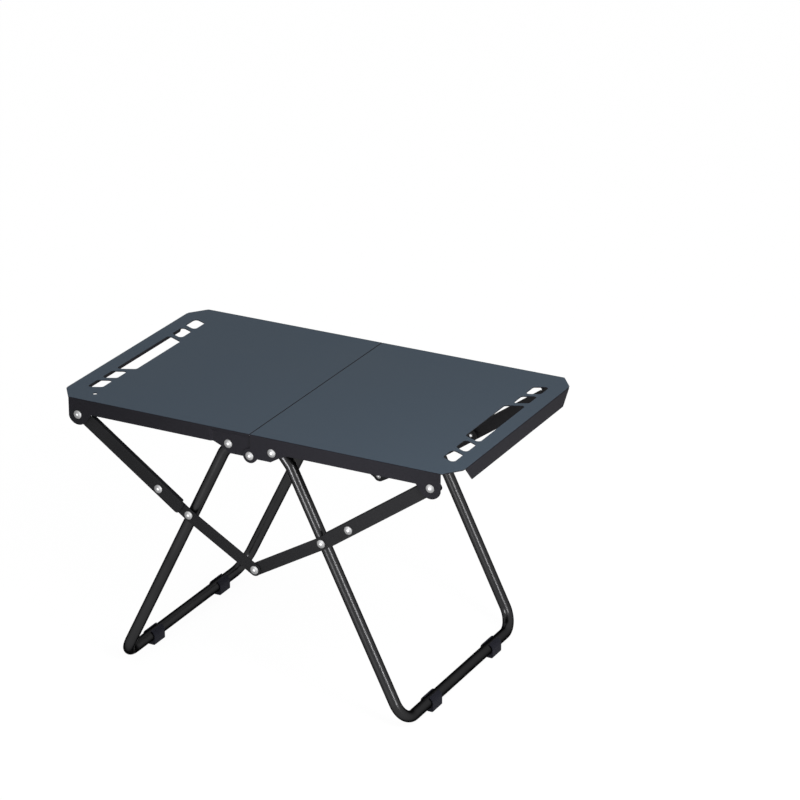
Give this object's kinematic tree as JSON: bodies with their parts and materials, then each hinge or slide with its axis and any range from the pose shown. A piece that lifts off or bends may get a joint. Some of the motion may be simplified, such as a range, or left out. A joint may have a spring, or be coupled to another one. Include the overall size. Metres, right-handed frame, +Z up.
{
  "type": "folding camp table",
  "caption": "Low folding camp table with a hinged sheet-metal top, carrying slots, crossed tube legs and folding link bars that lay flat inside the top.",
  "frame": {"origin": "on the floor, under the middle of the open table's bounding box", "axes": "+X along the length of the top, +Z up, -Y towards the side that faces the picture's viewer"},
  "size_m": [0.6, 0.376, 0.3915],
  "materials": {
    "top_sheet": "satin slate blue-grey powder coat, darker on the turned-down edges",
    "leg_tube": "gloss black paint on round tube",
    "link_bar": "matte black paint on flat bars",
    "rivet_steel": "bright domed heads",
    "foot_rubber": "dull blue-black rubber",
    "plug_plastic": "black plastic"
  },
  "bodies": {
    "top_left": {"top_panel_left": "top_sheet", "hinge_rivet_front": "rivet_steel", "hinge_rivet_rear": "rivet_steel", "ear_rivet_left_front": "rivet_steel", "ear_washer_left_front": "plug_plastic", "leg_rivet_left_front": "rivet_steel", "leg_spacer_left_front": "link_bar", "ear_rivet_left_rear": "rivet_steel", "ear_washer_left_rear": "plug_plastic", "leg_rivet_left_rear": "rivet_steel", "leg_spacer_left_rear": "link_bar"},
    "top_right": {"top_panel_right": "top_sheet", "ear_rivet_right_front": "rivet_steel", "ear_washer_right_front": "plug_plastic", "leg_rivet_right_front": "rivet_steel", "leg_spacer_right_front": "link_bar", "ear_rivet_right_rear": "rivet_steel", "ear_washer_right_rear": "plug_plastic", "leg_rivet_right_rear": "rivet_steel", "leg_spacer_right_rear": "link_bar"},
    "leg_left": {"leg_frame_left": "leg_tube", "tube_plug_left_front": "plug_plastic", "foot_left_front": "foot_rubber", "tube_plug_left_rear": "plug_plastic", "foot_left_rear": "foot_rubber"},
    "leg_right": {"leg_frame_right": "leg_tube", "tube_plug_right_front": "plug_plastic", "foot_right_front": "foot_rubber", "tube_plug_right_rear": "plug_plastic", "foot_right_rear": "foot_rubber"},
    "upper_left_front": {"upper_link_left_front": "link_bar", "knee_rivet_left_front": "rivet_steel", "knee_spacer_left_front": "link_bar"},
    "lower_left_front": {"lower_link_left_front": "link_bar", "cross_rivet_left_front": "rivet_steel", "cross_washer_left_front": "plug_plastic", "centre_rivet_front": "rivet_steel"},
    "upper_left_rear": {"upper_link_left_rear": "link_bar", "knee_rivet_left_rear": "rivet_steel", "knee_spacer_left_rear": "link_bar"},
    "lower_left_rear": {"lower_link_left_rear": "link_bar", "cross_rivet_left_rear": "rivet_steel", "cross_washer_left_rear": "plug_plastic", "centre_rivet_rear": "rivet_steel"},
    "upper_right_front": {"upper_link_right_front": "link_bar", "knee_rivet_right_front": "rivet_steel", "knee_spacer_right_front": "link_bar"},
    "lower_right_front": {"lower_link_right_front": "link_bar", "cross_rivet_right_front": "rivet_steel", "centre_rivet_tail_front": "rivet_steel"},
    "upper_right_rear": {"upper_link_right_rear": "link_bar", "knee_rivet_right_rear": "rivet_steel", "knee_spacer_right_rear": "link_bar"},
    "lower_right_rear": {"lower_link_right_rear": "link_bar", "cross_rivet_right_rear": "rivet_steel", "centre_rivet_tail_rear": "rivet_steel"}
  },
  "joints": [
    {"name": "centre_fold", "type": "hinge", "parent": "top_left", "child": "top_right", "pos_m": [0, 0, 0.3612], "axis": [0, 1, 0], "range_deg": [0, 173]},
    {"name": "leg_fold_left", "type": "hinge", "parent": "top_left", "child": "leg_left", "pos_m": [-0.033, 0, 0.3715], "axis": [0, 1, 0], "range_deg": [0, 59.7]},
    {"name": "upper_fold_left_front", "type": "hinge", "parent": "top_left", "child": "upper_left_front", "pos_m": [-0.2644, 0, 0.3687], "axis": [0, -1, 0], "range_deg": [0, 38.3]},
    {"name": "knee_fold_left_front", "type": "hinge", "parent": "upper_left_front", "child": "lower_left_front", "pos_m": [-0.14361, 0, 0.28318], "axis": [0, 1, 0], "range_deg": [0, 175.3]},
    {"name": "upper_fold_left_rear", "type": "hinge", "parent": "top_left", "child": "upper_left_rear", "pos_m": [-0.2644, 0, 0.3687], "axis": [0, -1, 0], "range_deg": [0, 38.3]},
    {"name": "knee_fold_left_rear", "type": "hinge", "parent": "upper_left_rear", "child": "lower_left_rear", "pos_m": [-0.14361, 0, 0.28318], "axis": [0, 1, 0], "range_deg": [0, 175.3]},
    {"name": "leg_fold_right", "type": "hinge", "parent": "top_right", "child": "leg_right", "pos_m": [0.033, 0, 0.3715], "axis": [0, -1, 0], "range_deg": [0, 59.7]},
    {"name": "upper_fold_right_front", "type": "hinge", "parent": "top_right", "child": "upper_right_front", "pos_m": [0.2644, 0, 0.3687], "axis": [0, 1, 0], "range_deg": [0, 38.3]},
    {"name": "knee_fold_right_front", "type": "hinge", "parent": "upper_right_front", "child": "lower_right_front", "pos_m": [0.14361, 0, 0.28318], "axis": [0, -1, 0], "range_deg": [0, 175.3]},
    {"name": "upper_fold_right_rear", "type": "hinge", "parent": "top_right", "child": "upper_right_rear", "pos_m": [0.2644, 0, 0.3687], "axis": [0, 1, 0], "range_deg": [0, 38.3]},
    {"name": "knee_fold_right_rear", "type": "hinge", "parent": "upper_right_rear", "child": "lower_right_rear", "pos_m": [0.14361, 0, 0.28318], "axis": [0, -1, 0], "range_deg": [0, 175.3]}
  ],
  "couplings": [
    {"joint": "leg_fold_left", "follows": "centre_fold", "ratio": 0.34476},
    {"joint": "upper_fold_left_front", "follows": "centre_fold", "ratio": 0.22081},
    {"joint": "knee_fold_left_front", "follows": "centre_fold", "ratio": 1.013},
    {"joint": "upper_fold_left_rear", "follows": "centre_fold", "ratio": 0.22081},
    {"joint": "knee_fold_left_rear", "follows": "centre_fold", "ratio": 1.013},
    {"joint": "leg_fold_right", "follows": "centre_fold", "ratio": 0.34476},
    {"joint": "upper_fold_right_front", "follows": "centre_fold", "ratio": 0.22081},
    {"joint": "knee_fold_right_front", "follows": "centre_fold", "ratio": 1.013},
    {"joint": "upper_fold_right_rear", "follows": "centre_fold", "ratio": 0.22081},
    {"joint": "knee_fold_right_rear", "follows": "centre_fold", "ratio": 1.013}
  ]
}
